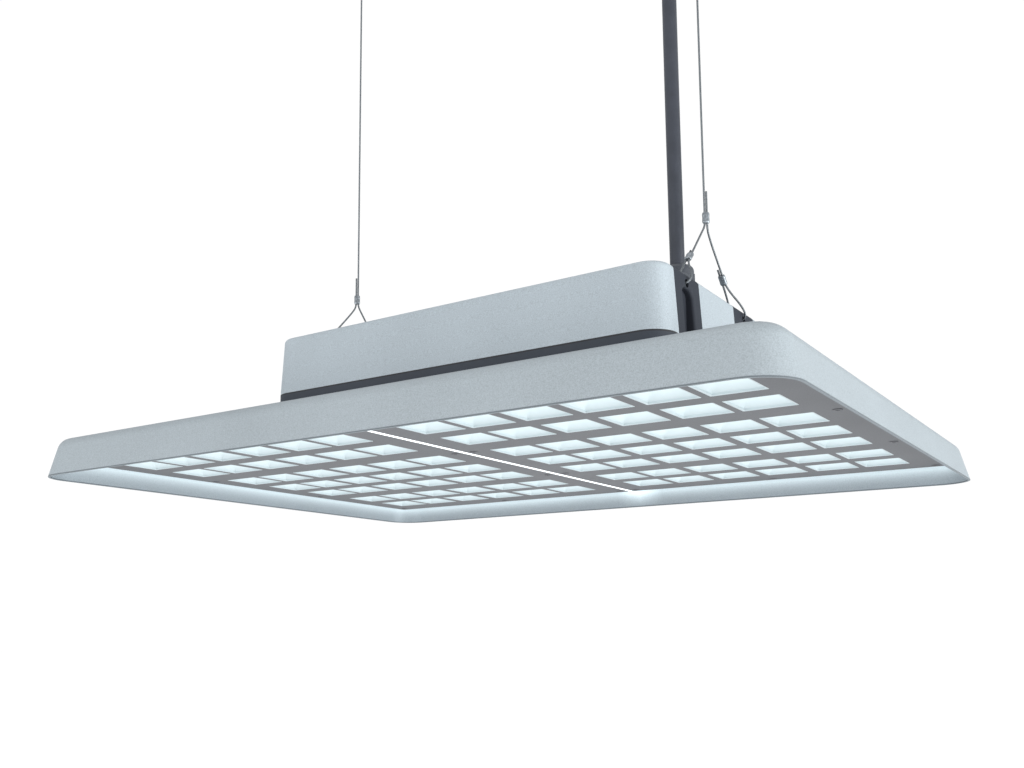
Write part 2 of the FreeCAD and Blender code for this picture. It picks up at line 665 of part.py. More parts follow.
wide_bend, narrow_bend = 10, 6
leads = []
for k in (-1, 0, 1):
    top = numbers(f"cable_x + {k} * core_spread_top", "0", "stub_foot - lead_gap")
    foot = numbers(f"cable_x + {k} * core_spread_foot", "0",
                   f"{floor_top} + terminal_height + lead_gap")
    leads.append(tube([top, foot], [], value("core_radius")))
for side in (-1, 1):
    route = [numbers(x, f"{side} * ({y})", "lead_level") for x, y in (
        ("cable_x - terminal_length / 2 - lead_gap", "driver_y - 39"),
        ("cable_x - 33", "driver_y - 32"),
        ("cable_x - 42", "driver_y - 8"),
        ("driver_x + driver_length / 2 + lead_gap", "driver_y - 5"))]
    leads.append(tube(route, [wide_bend, narrow_bend], value("lead_radius")))
    end = f"driver_x + {side} * (driver_length / 2 + lead_gap)"
    down, aside = f"{side} * lead_x", f"-{side} * driver_y"
    route = [numbers(end, aside, "driver_lead_level"), numbers(down, aside, "driver_lead_level"),
             numbers(down, aside, "board_height + board_thickness")]
    leads.append(tube(route, [wide_bend], value("lead_radius")))
feature(Part.makeCompound(leads), "inner_leads")

# ---------------------------------------------------------------- cable gland

gland_body = cut(
    union([rod("gland_thread", "cover_top - gland_foot", "cable_x", "0", "gland_foot"),
           hexagon("gland_hex", "gland_hex_top - cover_top", "cable_x", "0", "cover_top"),
           rod("spigot_radius", "spigot_top - gland_hex_top", "cable_x", "0", "gland_hex_top")]),
    rod("gland_bore", "through", "cable_x", "0", "gland_foot - spare"))
name_part(gland_body, "gland_body")
dome = rounded(rod("dome_radius", "nut_top - nut_hex_top", "cable_x", "0", "nut_hex_top"),
               "dome_round", lambda edge: edge.BoundBox.ZMin > value("nut_top") - 0.01)
gland_nut = cut(
    union([hexagon("gland_hex", "nut_hex_top - gland_hex_top", "cable_x", "0", "gland_hex_top"),
           dome]),
    union([rod("spigot_radius + gland_play", "seal_top - gland_hex_top", "cable_x", "0",
               "gland_hex_top"),
           rod("mouth_radius", "through", "cable_x", "0", "seal_top - spare")]))
name_part(gland_nut, "gland_nut")
name_part(cut(rod("spigot_radius", "seal_top - spigot_top", "cable_x", "0", "spigot_top"),
              rod("seal_bore", "through", "cable_x", "0", "spigot_top - spare")), "gland_seal")
name_part(cut(hexagon("locknut_hex", "locknut_height", "cable_x", "0",
                      "cover_top - cover_wall - locknut_height"),
              rod("gland_thread", "through", "cable_x", "0", "cover_top - through / 2")),
          "gland_locknut")
name_part(group([rod("cable_radius", "stub_top - stub_foot", "cable_x", "0", "stub_foot")]),
          "cable_tail")

# ---------------------------------------------------------------- ceiling rose and cable

rose_foot = "(ceiling_height - rose_height)"
rose_outer = rounded(
    box("rose_side", "rose_side", "rose_height", "rose_x", "0", rose_foot),
    "rose_corner", upright)
rose_inner = rounded(
    box("rose_side - 2 * rose_wall", "rose_side - 2 * rose_wall", "rose_height",
        "rose_x", "0", f"{rose_foot} + rose_wall"),
    "rose_corner - rose_wall", upright)
bosses = [rod("rose_boss", "rose_height - rose_wall / 2", "rose_x", f"{sign}rose_screw",
              f"{rose_foot} + rose_wall / 2") for sign in ("", "-")]
rose_tools = [rod("ceiling_screw_radius", "through", "rose_x", f"{sign}rose_screw",
                  f"{rose_foot} - spare") for sign in ("", "-")]
rose_tools.append(rod("rose_mouth", "2 * spare", "cable_x", "0", f"{rose_foot} - spare"))
name_part(cut(union([cut(rose_outer, rose_inner)] + bosses), group(rose_tools)), "ceiling_rose")

# The cable hangs almost straight; its route bows by less than a millimetre.
cable_route = [numbers("cable_x", "0", "cable_end"), V(145.4, 0.4, 258), V(145.5, 0.5, 420),
               numbers("cable_x", "0", "ceiling_height - 1.5")]


def gentle_bends(points):
    """For each inner point the largest arc that its two runs allow."""
    bends = []
    for before, corner, after in zip(points, points[1:], points[2:]):
        turn = (corner - before).getAngle(after - corner)
        run = min((corner - before).Length, (after - corner).Length)
        bends.append(0.45 * run / math.tan(turn / 2))
    return bends


feature(tube(cable_route, gentle_bends(cable_route), value("cable_radius")), "power_cable")

# ---------------------------------------------------------------- wire suspensions


def fork(x, across_height, foot, width, along):
    """Two ears with a pin bore through them, either side of the swivel link."""
    pieces = []
    reach = "((ear_gap + ear_thickness) / 2)"
    for sign in ("", "-"):
        out = f"{x} + {sign}{reach}" if along == "x" else x
        aside = "0" if along == "x" else f"{sign}{reach}"
        size = ("ear_thickness", width) if along == "x" else (width, "ear_thickness")
        low, high = (across_height, foot) if along == "x" else (foot, across_height)
        pieces.append(box(*size, f"{high} - ({low})", out, aside, low))
        begin = (f"{out} - ear_thickness / 2", aside) if along == "x" else (
            out, f"{aside} - ear_thickness / 2")
        pieces.append(rod(f"{width} / 2", "ear_thickness", *begin, across_height, along))
    return pieces


def cross_bore(radius, x, height, along):
    if along == "x":
        return rod(radius, "through", f"{x} - through / 2", "0", height, "x")
    return rod(radius, "through", x, "-through / 2", height, "y")


def pin(label, x, height, along):
    """A headed pin that fills the ears' bores and carries the link between them."""
    reach = "(ear_gap / 2 + ear_thickness)"
    pieces = []
    for radius, start, length in (
            ("pin_radius", f"-{reach}", f"2 * {reach}"),
            ("pin_head_radius", f"-{reach} - pin_head", "pin_head"),
            ("pin_head_radius", reach, "pin_head")):
        where = (f"{x} + {start}", "0") if along == "x" else (x, start)
        pieces.append(rod(radius, length, *where, height, along))
    return name_part(union(pieces), label)


def ceiling_anchor(label, x):
    flange = rounded(box("anchor_width", "anchor_length", "anchor_flange", x, "0",
                         "ceiling_height - anchor_flange"), "anchor_corner", upright)
    ears = fork(x, "pin_across_height", "ceiling_height - anchor_flange / 2",
                "anchor_ear_width", "x")
    tools = [cross_bore("pin_radius", x, "pin_across_height", "x")]
    tools += [rod("ceiling_screw_radius", "through", x, f"{sign}anchor_screw", "ceiling_height - spare")
              for sign in ("", "-")]
    return name_part(cut(union([flange] + ears), group(tools)), label)


def swivel_link(label, x):
    block = box("link_side", "link_side", "pin_across_height - pin_along_height",
                x, "0", "pin_along_height")
    upper = rod("link_end", "link_side", f"{x} - link_side / 2", "0", "pin_across_height", "x")
    lower = rod("link_end", "link_side", x, "-link_side / 2", "pin_along_height", "y")
    bores = [cross_bore("pin_bore", x, "pin_across_height", "x"),
             cross_bore("pin_bore", x, "pin_along_height", "y")]
    return name_part(cut(union([block, upper, lower]), group(bores)), label)


def wire_grip(label, x):
    barrel = rod("grip_radius", "grip_top - grip_foot", x, "0", "grip_foot")
    ears = fork(x, "pin_along_height", "grip_top - grip_ear_overlap", "grip_ear_width", "y")
    bores = [cross_bore("pin_radius", x, "pin_along_height", "y"),
             rod("grip_bore", "grip_bore_top - grip_foot", x, "0", "grip_foot"),
             rod("wire_bore", "wire_top + wire_end_gap - grip_bore_top", x, "0", "grip_bore_top")]
    return name_part(cut(union([barrel] + ears), group(bores)), label)


def nozzle(label, x):
    collar = rod("nozzle_collar", "nozzle_shoulder - nozzle_foot", x, "0", "nozzle_foot")
    stem = rod("nozzle_stem", "nozzle_stem_top - nozzle_shoulder", x, "0", "nozzle_shoulder")
    return name_part(cut(union([collar, stem]), rod("nozzle_bore", "through", x, "0", "nozzle_foot - spare")),
                     label)


def ferrule():
    """A crimped sleeve along Z about the origin, with a slot for two strands side by side."""
    sleeve = rounded(
        box("ferrule_width", "ferrule_depth", "ferrule_length", "0", "0", "-ferrule_length / 2"),
        "ferrule_round", upright)
    slot = union([box("wire_pair", "2 * ferrule_slot", "through", "0", "0", "-through / 2")]
                 + [rod("ferrule_slot", "through", f"{sign}wire_pair / 2", "0", "-through / 2")
                    for sign in ("", "-")])
    return cut(sleeve, slot)


def turned(points, left):
    """The left suspension is the right one turned half a turn about Z."""
    return [V(-p.x, -p.y, p.z) for p in points] if left else points


def loop_end(side):
    """A leg's lower end: past its ferrule, round the bracket's bar and back as a tail."""
    wire_x, half = value("wire_x"), value("wire_pair") / 2
    centre = V(wire_x, side * value("leg_ferrule_y"), value("leg_ferrule_height"))
    upward = V(0, -side * value("leg_ferrule_y"),
               value("apex_bend_height") - value("leg_ferrule_height")).normalize()
    low, tail = centre - upward * 7, centre + upward * 9
    top_y, top_z = side * value("loop_top_y"), value("loop_top_height")
    eye_y, eye_z = side * value("bracket_y"), value("loop_height")
    outer, inner = value("loop_outer"), value("loop_inner")
    return [V(wire_x + half, low.y, low.z), V(outer, top_y, top_z), V(outer, eye_y, eye_z),
            V(inner, eye_y, eye_z), V(inner, top_y, top_z), V(wire_x - half, low.y, low.z),
            V(wire_x - half - 0.35, tail.y, tail.z)]


ferrule_bend, mouth_bend, shoulder_bend, bar_bend = 8, 14, 20, 3.6
loop_bends = [mouth_bend, shoulder_bend, bar_bend, bar_bend, shoulder_bend, mouth_bend]


def suspension(side, x, left):
    """Everything of one wire suspension, from its ceiling anchor down to its loops."""
    ceiling_anchor(f"{side}_anchor", x)
    pin(f"{side}_anchor_pin", x, "pin_across_height", "x")
    swivel_link(f"{side}_swivel_link", x)
    pin(f"{side}_grip_pin", x, "pin_along_height", "y")
    wire_grip(f"{side}_wire_grip", x)
    nozzle(f"{side}_release_nozzle", x)
    radius, pair = value("wire_radius"), value("wire_pair")
    main = [numbers("wire_x", "0", "wire_top"), numbers("wire_x", "0", "apex_bend_height")]
    main = turned(main + loop_end(-1), left)
    feature(tube(main, [ferrule_bend] + loop_bends, radius), f"{side}_main_wire")
    bridle = [numbers("wire_x", "wire_pair", "tail_top"),
              numbers("wire_x", "wire_pair", "apex_bend_height")]
    bridle = turned(bridle + loop_end(1), left)
    feature(tube(bridle, [ferrule_bend] + loop_bends, radius), f"{side}_bridle_wire")
    apex = name_part(ferrule(), f"{side}_apex_ferrule")
    middle = turned([numbers("wire_x", "wire_pair / 2", "apex_height")], left)[0]
    apex.Placement = FreeCAD.Placement(middle, FreeCAD.Rotation(V(0, 0, 1), 90))
    rise = value("apex_bend_height") - value("leg_ferrule_height")
    lean = math.degrees(math.atan2(value("leg_ferrule_y"), rise))
    legs = []
    for turn in (-1, 1):
        leg = ferrule()
        centre = V(value(x), turn * value("leg_ferrule_y"), value("leg_ferrule_height"))
        leg.Placement = FreeCAD.Placement(centre, FreeCAD.Rotation(V(1, 0, 0), turn * lean))
        legs.append(leg)
    name_part(group(legs), f"{side}_leg_ferrules")


suspension("left", "-wire_x", True)
suspension("right", "wire_x", False)

# ---------------------------------------------------------------- checks and files

doc.recompute()
failed = [o.Name for o in doc.Objects if {"Invalid", "Error"} & set(o.State)]
assert not failed, f"these objects did not build: {failed}"
for piece in sub_parts:
    shape = piece.Shape
    assert not shape.isNull() and shape.isValid(), f"{piece.Label} has no valid shape"
    assert shape.Solids and shape.Volume > 0, f"{piece.Label} has no volume"
for piece in sub_parts:
    piece.Shape.exportStep(f"parts/{piece.Label}.step")
print(f"{len(sub_parts)} sub-parts written")
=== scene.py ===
import json
import math

import bmesh
import bpy
from mathutils import Matrix, Quaternion, Vector


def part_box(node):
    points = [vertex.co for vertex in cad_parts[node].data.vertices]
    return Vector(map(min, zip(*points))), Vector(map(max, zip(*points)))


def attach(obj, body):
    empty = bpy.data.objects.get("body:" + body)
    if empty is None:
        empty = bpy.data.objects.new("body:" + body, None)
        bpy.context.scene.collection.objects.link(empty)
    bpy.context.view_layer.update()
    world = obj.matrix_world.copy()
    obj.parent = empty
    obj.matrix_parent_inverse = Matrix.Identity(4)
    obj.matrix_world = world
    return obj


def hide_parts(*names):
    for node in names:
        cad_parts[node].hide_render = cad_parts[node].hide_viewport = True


# A rectangular LED luminaire hung from two wire ropes, seen from below one corner. Metres, +Z up.

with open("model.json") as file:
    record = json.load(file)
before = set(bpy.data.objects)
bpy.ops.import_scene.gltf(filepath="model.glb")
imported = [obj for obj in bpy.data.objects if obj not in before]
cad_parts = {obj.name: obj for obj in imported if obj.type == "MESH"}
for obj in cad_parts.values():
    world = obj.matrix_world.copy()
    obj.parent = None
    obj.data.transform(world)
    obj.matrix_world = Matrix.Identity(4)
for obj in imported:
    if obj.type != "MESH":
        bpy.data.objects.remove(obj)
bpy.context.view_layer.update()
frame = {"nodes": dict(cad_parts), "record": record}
nodes = frame["nodes"]
scene = bpy.context.scene

MM = 0.001


# ---------------------------------------------------------------- camera, floor and light

def add_camera():
    """The camera below the near right corner, looking up at the luminaire's underside."""
    data = bpy.data.cameras.new("camera")
    data.sensor_width = 36
    data.lens = 36.91
    data.shift_x = 0.0639
    data.shift_y = 0.0990
    camera = bpy.data.objects.new("camera", data)
    camera.location = (0.4502, -0.7135, -0.1162)
    camera.rotation_euler = (math.radians(97.58), 0, math.radians(35.95))
    scene.collection.objects.link(camera)
    scene.camera = camera


FLOOR_DROP = 1.25
FLOOR_HALF = 40


def add_floor(material):
    """A pale floor far below the luminaire."""
    mesh = bpy.data.meshes.new("floor")
    corners = [(x * FLOOR_HALF, y * FLOOR_HALF, -FLOOR_DROP)
               for x, y in ((-1, -1), (1, -1), (1, 1), (-1, 1))]
    mesh.from_pydata(corners, [], [(0, 1, 2, 3)])
    floor = bpy.data.objects.new("floor", mesh)
    floor.data.materials.append(material)
    scene.collection.objects.link(floor)


def add_area_light(name, place, target, size, watts, colour):
    data = bpy.data.lights.new(name, "AREA")
    data.shape = "DISK"
    data.size = size
    data.energy = watts
    data.color = colour
    light = bpy.data.objects.new(name, data)
    light.location = place
    light.rotation_euler = (Vector(target) - Vector(place)).to_track_quat("-Z", "Y").to_euler()
    scene.collection.objects.link(light)


def add_sun(name, direction, strength, spread):
    data = bpy.data.lights.new(name, "SUN")
    data.energy = strength
    data.angle = math.radians(spread)
    light = bpy.data.objects.new(name, data)
    light.rotation_euler = Vector(direction).to_track_quat("-Z", "Y").to_euler()
    scene.collection.objects.link(light)


def add_world():
    """A white backdrop, whose light on the luminaire is softer than it looks."""
    world = bpy.data.worlds.new("studio")
    world.use_nodes = True
    scene.world = world
    tree = world.node_tree
    background = tree.nodes["Background"]
    background.inputs["Color"].default_value = (0.93, 0.97, 1, 1)
    background.inputs["Strength"].default_value = 0.62
    seen = tree.nodes.new("ShaderNodeBackground")
    seen.inputs["Color"].default_value = (1, 1, 1, 1)
    seen.inputs["Strength"].default_value = 1.02
    path = tree.nodes.new("ShaderNodeLightPath")
    mix = tree.nodes.new("ShaderNodeMixShader")
    tree.links.new(path.outputs["Is Camera Ray"], mix.inputs["Fac"])
    tree.links.new(background.outputs["Background"], mix.inputs[1])
    tree.links.new(seen.outputs["Background"], mix.inputs[2])
    tree.links.new(mix.outputs["Shader"], tree.nodes["World Output"].inputs["Surface"])


# ---------------------------------------------------------------- materials

class Finish:
    """A material's node tree. Sizes of patterns are given as features per metre."""

    def __init__(self, name, colour, roughness, metallic=0.0, **constants):
        self.material = bpy.data.materials.new(name)
        self.material.use_nodes = True
        self.tree = self.material.node_tree
        self.shader = self.tree.nodes["Principled BSDF"]
        self.shader.inputs["Base Color"].default_value = (*colour, 1)
        self.shader.inputs["Roughness"].default_value = roughness
        self.shader.inputs["Metallic"].default_value = metallic
        for socket, number in constants.items():
            self.shader.inputs[socket.replace("_", " ")].default_value = number
        self.place = self.tree.nodes.new("ShaderNodeTexCoord").outputs["Object"]

    def node(self, kind, links=(), **settings):
        """A node whose inputs are linked to sockets, or set to plain values."""
        item = self.tree.nodes.new("ShaderNode" + kind)
        for name, setting in settings.items():
            setattr(item, name, setting)
        for socket, source in dict(links).items():
            if isinstance(source, bpy.types.NodeSocket):
                self.tree.links.new(source, item.inputs[socket])
            else:
                item.inputs[socket].default_value = source
        return item

    def stretched(self, scale):
        """Object coordinates scaled per axis, for brushed or drawn surfaces."""
        return self.node("Mapping", {"Vector": self.place, "Scale": scale}).outputs["Vector"]

    def noise(self, per_metre, detail=3.0, vector=None):
        return self.node("TexNoise", {
            "Vector": vector or self.place, "Scale": per_metre, "Detail": detail}).outputs["Fac"]

    def spread(self, source, low, high, from_low=0.3, from_high=0.7):
        """Maps a pattern's usual range onto low..high."""
        return self.node("MapRange", {
            "Value": source, "From Min": from_low, "From Max": from_high,
            "To Min": low, "To Max": high}).outputs["Result"]

    def tones(self, source, *stops):
        """Colours along a pattern, as (position, colour) pairs."""
        ramp = self.node("ValToRGB", {"Fac": source})
        elements = ramp.color_ramp.elements
        while len(elements) < len(stops):
            elements.new(0.5)
        for element, (position, colour) in zip(elements, stops):
            element.position = position
            element.color = (*colour, 1)
        return ramp.outputs["Color"]

    def maths(self, operation, first, second=0.0):
        return self.node("Math", {0: first, 1: second}, operation=operation).outputs["Value"]

    def colour(self, source):
        self.tree.links.new(source, self.shader.inputs["Base Color"])

    def roughness(self, source):
        self.tree.links.new(source, self.shader.inputs["Roughness"])

    def glow(self, source):
        self.tree.links.new(source, self.shader.inputs["Emission Strength"])

    def relief(self, height, depth):
        """Bumps of the given depth in metres."""
        bump = self.node("Bump", {"Height": height, "Distance": depth, "Strength": 1.0})
        self.tree.links.new(bump.outputs["Normal"], self.shader.inputs["Normal"])


def shades(colour, *factors):
    """The same colour at several brightnesses."""
    return [tuple(min(1, c * f) for c in colour) for f in factors]


def grainy(name, colour, roughness, grain, depth, vary=0.06, **constants):
    """A finish with cloudy tone, uneven gloss and a fine raised grain."""
    finish = Finish(name, colour, roughness, **constants)
    dark, light = shades(colour, 1 - vary, 1 + vary)
    cloud = finish.noise(18, 4)
    finish.colour(finish.tones(cloud, (0.3, dark), (0.7, light)))
    fine = finish.noise(grain, 2)
    finish.roughness(finish.spread(fine, roughness - 0.05, roughness + 0.07))
    finish.relief(fine, depth)
    return finish


def silver_powder_coat(name, base):
    """Pale silver powder coat: an orange-peel skin with metallic sparkle in it."""
    finish = Finish(name, base, 0.5, 0.2, Specular_IOR_Level=0.4)
    dark, middle, light = shades(base, 0.84, 1.0, 1.13)
    sparkle = finish.noise(1500, 1)
    cloud = finish.noise(9, 3)
    mixed = finish.maths("MULTIPLY", sparkle, 0.72)
    tone = finish.maths("ADD", mixed, finish.spread(cloud, 0.09, 0.19))
    finish.colour(finish.tones(tone, (0.34, dark), (0.5, middle), (0.68, light)))
    finish.roughness(finish.spread(finish.noise(900, 2), 0.44, 0.58))
    peel = finish.noise(420, 2)
    both = finish.maths("ADD", peel, finish.maths("MULTIPLY", sparkle, 0.35))
    finish.relief(both, 0.00009)
    return finish


# Heights of the painted shade along the hood's bottom lip: full up to the first, gone at the
# second.
LIP_SHADE_FULL, LIP_SHADE_END = 0.6 * MM, 1.1 * MM
SLIT_GLOW_REACH = 24 * MM
INWARD = -5 * MM


def hood_coat_with_painted_light():
    """The silver coat, with painted shade and a painted glow on the hood's inner walls, and
    painted shade along its lip.

    A wall is an inner one where its normal points back at the middle of the hood.
    """
    finish = silver_powder_coat("hood_coat_with_painted_light", (0.435, 0.475, 0.50))
    # The colour of the painted glow on the inner walls.
    finish.shader.inputs["Emission Color"].default_value = (0.80, 0.95, 1, 1)
    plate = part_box("grid_plate_right")[0].z
    x, _, z = finish.node("SeparateXYZ", {"Vector": finish.place}).outputs
    facing = finish.node("TexCoord").outputs["Normal"]
    level = finish.node("VectorMath", {0: facing, 1: (1, 1, 0)}, operation="MULTIPLY").outputs[0]
    outward = finish.node("VectorMath", {0: level, 1: finish.place}, operation="DOT_PRODUCT")
    inside = finish.maths("LESS_THAN", outward.outputs["Value"], INWARD)
    paint = finish.shader.inputs["Base Color"].links[0].from_socket
    # Painted shade: the colour of the hood's inner walls is darkened by about a third.
    inner_painted_shade = finish.node("MixRGB", {
        "Fac": inside, "Color1": paint, "Color2": (0.62, 0.64, 0.66, 1)},
        blend_type="MULTIPLY").outputs["Color"]
    # Painted shade: the rim's bottom edge, up to about a millimetre above it, is darkened into a
    # thin grey line.
    lip = finish.spread(z, 1.0, 0.0, LIP_SHADE_FULL, LIP_SHADE_END)
    finish.colour(finish.node("MixRGB", {
        "Fac": lip, "Color1": inner_painted_shade, "Color2": (0.42, 0.43, 0.44, 1)},
        blend_type="MULTIPLY").outputs["Color"])
    # Painted glow on the inner walls, standing in for the diodes' light: it grows towards the
    # plates and near the middle slit.
    share = finish.spread(z, 0.0, 1.0, 0.0, plate)
    rise = finish.maths("POWER", share, 2.4)
    slit_painted_glow = finish.spread(finish.maths("ABSOLUTE", x), 0.55, 0.0, 0.0, SLIT_GLOW_REACH)
    strength = finish.maths("ADD", finish.maths("MULTIPLY", rise, 0.5),
                            finish.maths("MULTIPLY", slit_painted_glow, share))
    lit = finish.maths("MULTIPLY", inside, strength)
    finish.glow(finish.maths("MULTIPLY", lit, finish.maths("SUBTRACT", 1.0, lip)))
    return finish


def dark_casting_coat():
    return grainy("dark_casting_coat", (0.036, 0.040, 0.051), 0.6, 1500, 0.00004,
                  Specular_IOR_Level=0.18).material


def tray_coat():
    """The gear tray's paint, a little paler than the castings."""
    return grainy("tray_coat", (0.054, 0.061, 0.076), 0.6, 1500, 0.00004,
                  Specular_IOR_Level=0.3).material


def plate_coat():
    """Matt grey paint on the punched plates, slightly mottled."""
    return grainy("plate_coat", (0.103, 0.103, 0.110), 0.62, 1300, 0.00003, 0.05).material


def lit_reflector():
    """White reflector walls with a painted glow, brightest where they meet the diode and fading to
    the mouth.
    """
    finish = Finish("lit_reflector", (0.49, 0.55, 0.57), 0.35, Emission_Color=(0.86, 0.985, 1, 1))
    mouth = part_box("reflector_right")[0].z
    height = finish.node("SeparateXYZ", {"Vector": finish.place}).outputs["Z"]
    rise = finish.spread(height, 0.0, 0.32, mouth, mouth + 7 * MM)
    painted_glow_mottle = finish.spread(finish.noise(160, 4), 0.94, 1.05)
    # Painted glow, unevenly bright, standing in for the diodes' light falling on the cup walls.
    finish.glow(finish.maths("MULTIPLY", rise, painted_glow_mottle))
    finish.relief(finish.noise(700, 2), 0.00004)
    return finish.material


def led_package():
    """Phosphor and white resin of a lit diode."""
    finish = Finish("led_package", (0.95, 0.93, 0.82), 0.35, Emission_Color=(0.97, 1, 0.98, 1))
    finish.glow(finish.spread(finish.noise(1500, 2), 1.2, 1.7))
    return finish.material


def opal_strip():
    """Opal plastic with the diodes' light coming through it."""
    finish = Finish("opal_strip", (0.88, 0.92, 0.93), 0.4, Emission_Color=(0.93, 1, 1, 1))
    finish.glow(finish.spread(finish.noise(40, 3), 0.84, 1.0))
    finish.relief(finish.noise(900, 2), 0.00003)
    return finish.material


def solder_mask():
    """White solder mask with faint copper tracks under it, and a faint painted glow standing in
    for the diodes' light on it.
    """
    finish = Finish("solder_mask", (0.80, 0.83, 0.82), 0.4, Emission_Color=(0.9, 1, 1, 1))
    tracks = finish.node("TexBrick", {
        "Vector": finish.place, "Scale": 1.0, "Color1": (1, 1, 1, 1), "Color2": (0.9, 0.9, 0.9, 1),
        "Mortar": (0.6, 0.6, 0.6, 1), "Mortar Size": 0.0008, "Brick Width": 0.042,
        "Row Height": 0.026}).outputs["Color"]
    finish.colour(finish.node("MixRGB", {
        "Fac": 0.35, "Color1": (0.80, 0.83, 0.82, 1), "Color2": tracks}).outputs["Color"])
    # Painted glow: the board gives off light of its own, standing in for the diodes' light
    # spilling over it.
    finish.glow(finish.spread(finish.noise(60, 2), 0.4, 0.5))
    return finish.material


def brushed(name, colour, roughness, stretch, metallic=1.0):
    """Metal with fine drawn lines along one axis."""
    finish = Finish(name, colour, roughness, metallic)
    lines = finish.noise(1.0, 4, finish.stretched(stretch))
    dark, light = shades(colour, 0.78, 1.1)
    finish.colour(finish.tones(lines, (0.3, dark), (0.7, light)))
    finish.roughness(finish.spread(lines, roughness - 0.08, roughness + 0.14))
    finish.relief(lines, 0.00002)
    return finish


def zinc_plate():
    """Zinc-plated steel with the crystal bloom of plating."""
    colour = (0.43, 0.44, 0.46)
    finish = Finish("zinc_plate", colour, 0.34, 1.0)
    bloom = finish.node("TexVoronoi", {"Vector": finish.place, "Scale": 500.0}).outputs["Color"]
    grey = finish.node("RGBToBW", {"Color": bloom}).outputs["Val"]
    dark, light = shades(colour, 0.8, 1.12)
    finish.colour(finish.tones(grey, (0.1, dark), (0.9, light)))
    finish.roughness(finish.spread(grey, 0.26, 0.46, 0, 1))
    finish.relief(finish.noise(2400, 2), 0.00002)
    return finish.material


def wire_rope_steel():
    return brushed("wire_rope_steel", (0.26, 0.275, 0.29), 0.45, (2200, 2200, 300), 0.85).material


def crimped_aluminium():
    """Soft aluminium with press marks and dull scuffs."""
    colour = (0.36, 0.385, 0.41)
    finish = Finish("crimped_aluminium", colour, 0.36, 0.9)
    scuff = finish.noise(700, 5)
    dark, light = shades(colour, 0.76, 1.12)
    finish.colour(finish.tones(scuff, (0.34, dark), (0.62, light)))
    finish.roughness(finish.spread(scuff, 0.28, 0.46))
    finish.relief(finish.noise(1600, 3), 0.00005)
    return finish.material


def nickel_plate():
    return brushed("nickel_plate", (0.48, 0.47, 0.45), 0.24, (300, 300, 4200)).material


def cable_sheath():
    """Dark grey satin PVC, very slightly ribbed by the cores inside."""
    colour = (0.044, 0.048, 0.062)
    finish = Finish("cable_sheath", colour, 0.36, Specular_IOR_Level=0.55)
    dark, light = shades(colour, 0.88, 1.12)
    finish.colour(finish.tones(finish.noise(60, 4), (0.3, dark), (0.7, light)))
    fine = finish.noise(1.0, 3, finish.stretched((1400, 1400, 60)))
    finish.roughness(finish.spread(fine, 0.32, 0.46))
    finish.relief(fine, 0.00004)
    return finish.material


def gland_polyamide():
    return grainy("gland_polyamide", (0.062, 0.067, 0.080), 0.34, 900, 0.00003).material


def rubber():
    return grainy("rubber", (0.028, 0.028, 0.032), 0.62, 1100, 0.00005).material


def silicone_pad():
    return grainy("silicone_pad", (0.40, 0.43, 0.46), 0.7, 800, 0.00006).material


def driver_aluminium():
    return brushed("driver_aluminium", (0.70, 0.71, 0.72), 0.3, (60, 2600, 2600)).material


def terminal_polyamide():
    return grainy("terminal_polyamide", (0.80, 0.80, 0.76), 0.45, 1000, 0.00004).material


def lead_silicone():
    return grainy("lead_silicone", (0.62, 0.63, 0.65), 0.5, 1200, 0.00003).material


def rose_moulding():
    return grainy("rose_moulding", (0.62, 0.64, 0.66), 0.42, 1000, 0.00004, 0.04).material


def studio_floor():
    """Pale seamless flooring with a trace of unevenness."""
    finish = Finish("studio_floor", (0.9, 0.91, 0.92), 0.85, Emission_Color=(0.98, 1, 1, 1),
                    Emission_Strength=0.45)
    finish.colour(finish.tones(finish.noise(1.5, 4), (0.3, (0.89, 0.90, 0.91)),
                               (0.7, (0.93, 0.94, 0.95))))
    finish.relief(finish.noise(30, 3), 0.0005)
    return finish.material


materials = {
    "silver_paint": silver_powder_coat("cover_coat", (0.515, 0.565, 0.60)).material,
    "plate_paint": plate_coat(),
    "reflector": lit_reflector(), "led_chip": led_package(), "led_board": solder_mask(),
    "opal_diffuser": opal_strip(), "thermal_pad": silicone_pad(), "zinc_steel": zinc_plate(),
    "dark_casting": dark_casting_coat(), "black_rubber": rubber(),
    "driver_case": driver_aluminium(), "terminal_plastic": terminal_polyamide(),
    "lead_insulation": lead_silicone(), "gland_plastic": gland_polyamide(),
    "cable_sheath": cable_sheath(), "wire_rope": wire_rope_steel(),
    "ferrule": crimped_aluminium(), "nickel": nickel_plate(), "rose_plastic": rose_moulding(),
}


def finish_cad_nodes():
    """Every CAD node takes the finish of its material slot, and the hood and tray their own."""
    for row in frame["record"]["subparts"]:
        node = nodes[row["node"]]
        node.data.materials.clear()
        node.data.materials.append(materials[row["material_slot"]])
    nodes["hood"].data.materials[0] = hood_coat_with_painted_light().material
    nodes["gear_tray"].data.materials[0] = tray_coat()


# ---------------------------------------------------------------- mesh helpers

def new_piece(name, mesh, body, slot, *replaced):
    """Links a finished mesh or curve as a piece that rides on a body."""
    mesh.materials.append(materials[slot])
    piece = bpy.data.objects.new(name, mesh)
    scene.collection.objects.link(piece)
    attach(piece, body)
    if replaced:
        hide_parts(*replaced)
    return piece


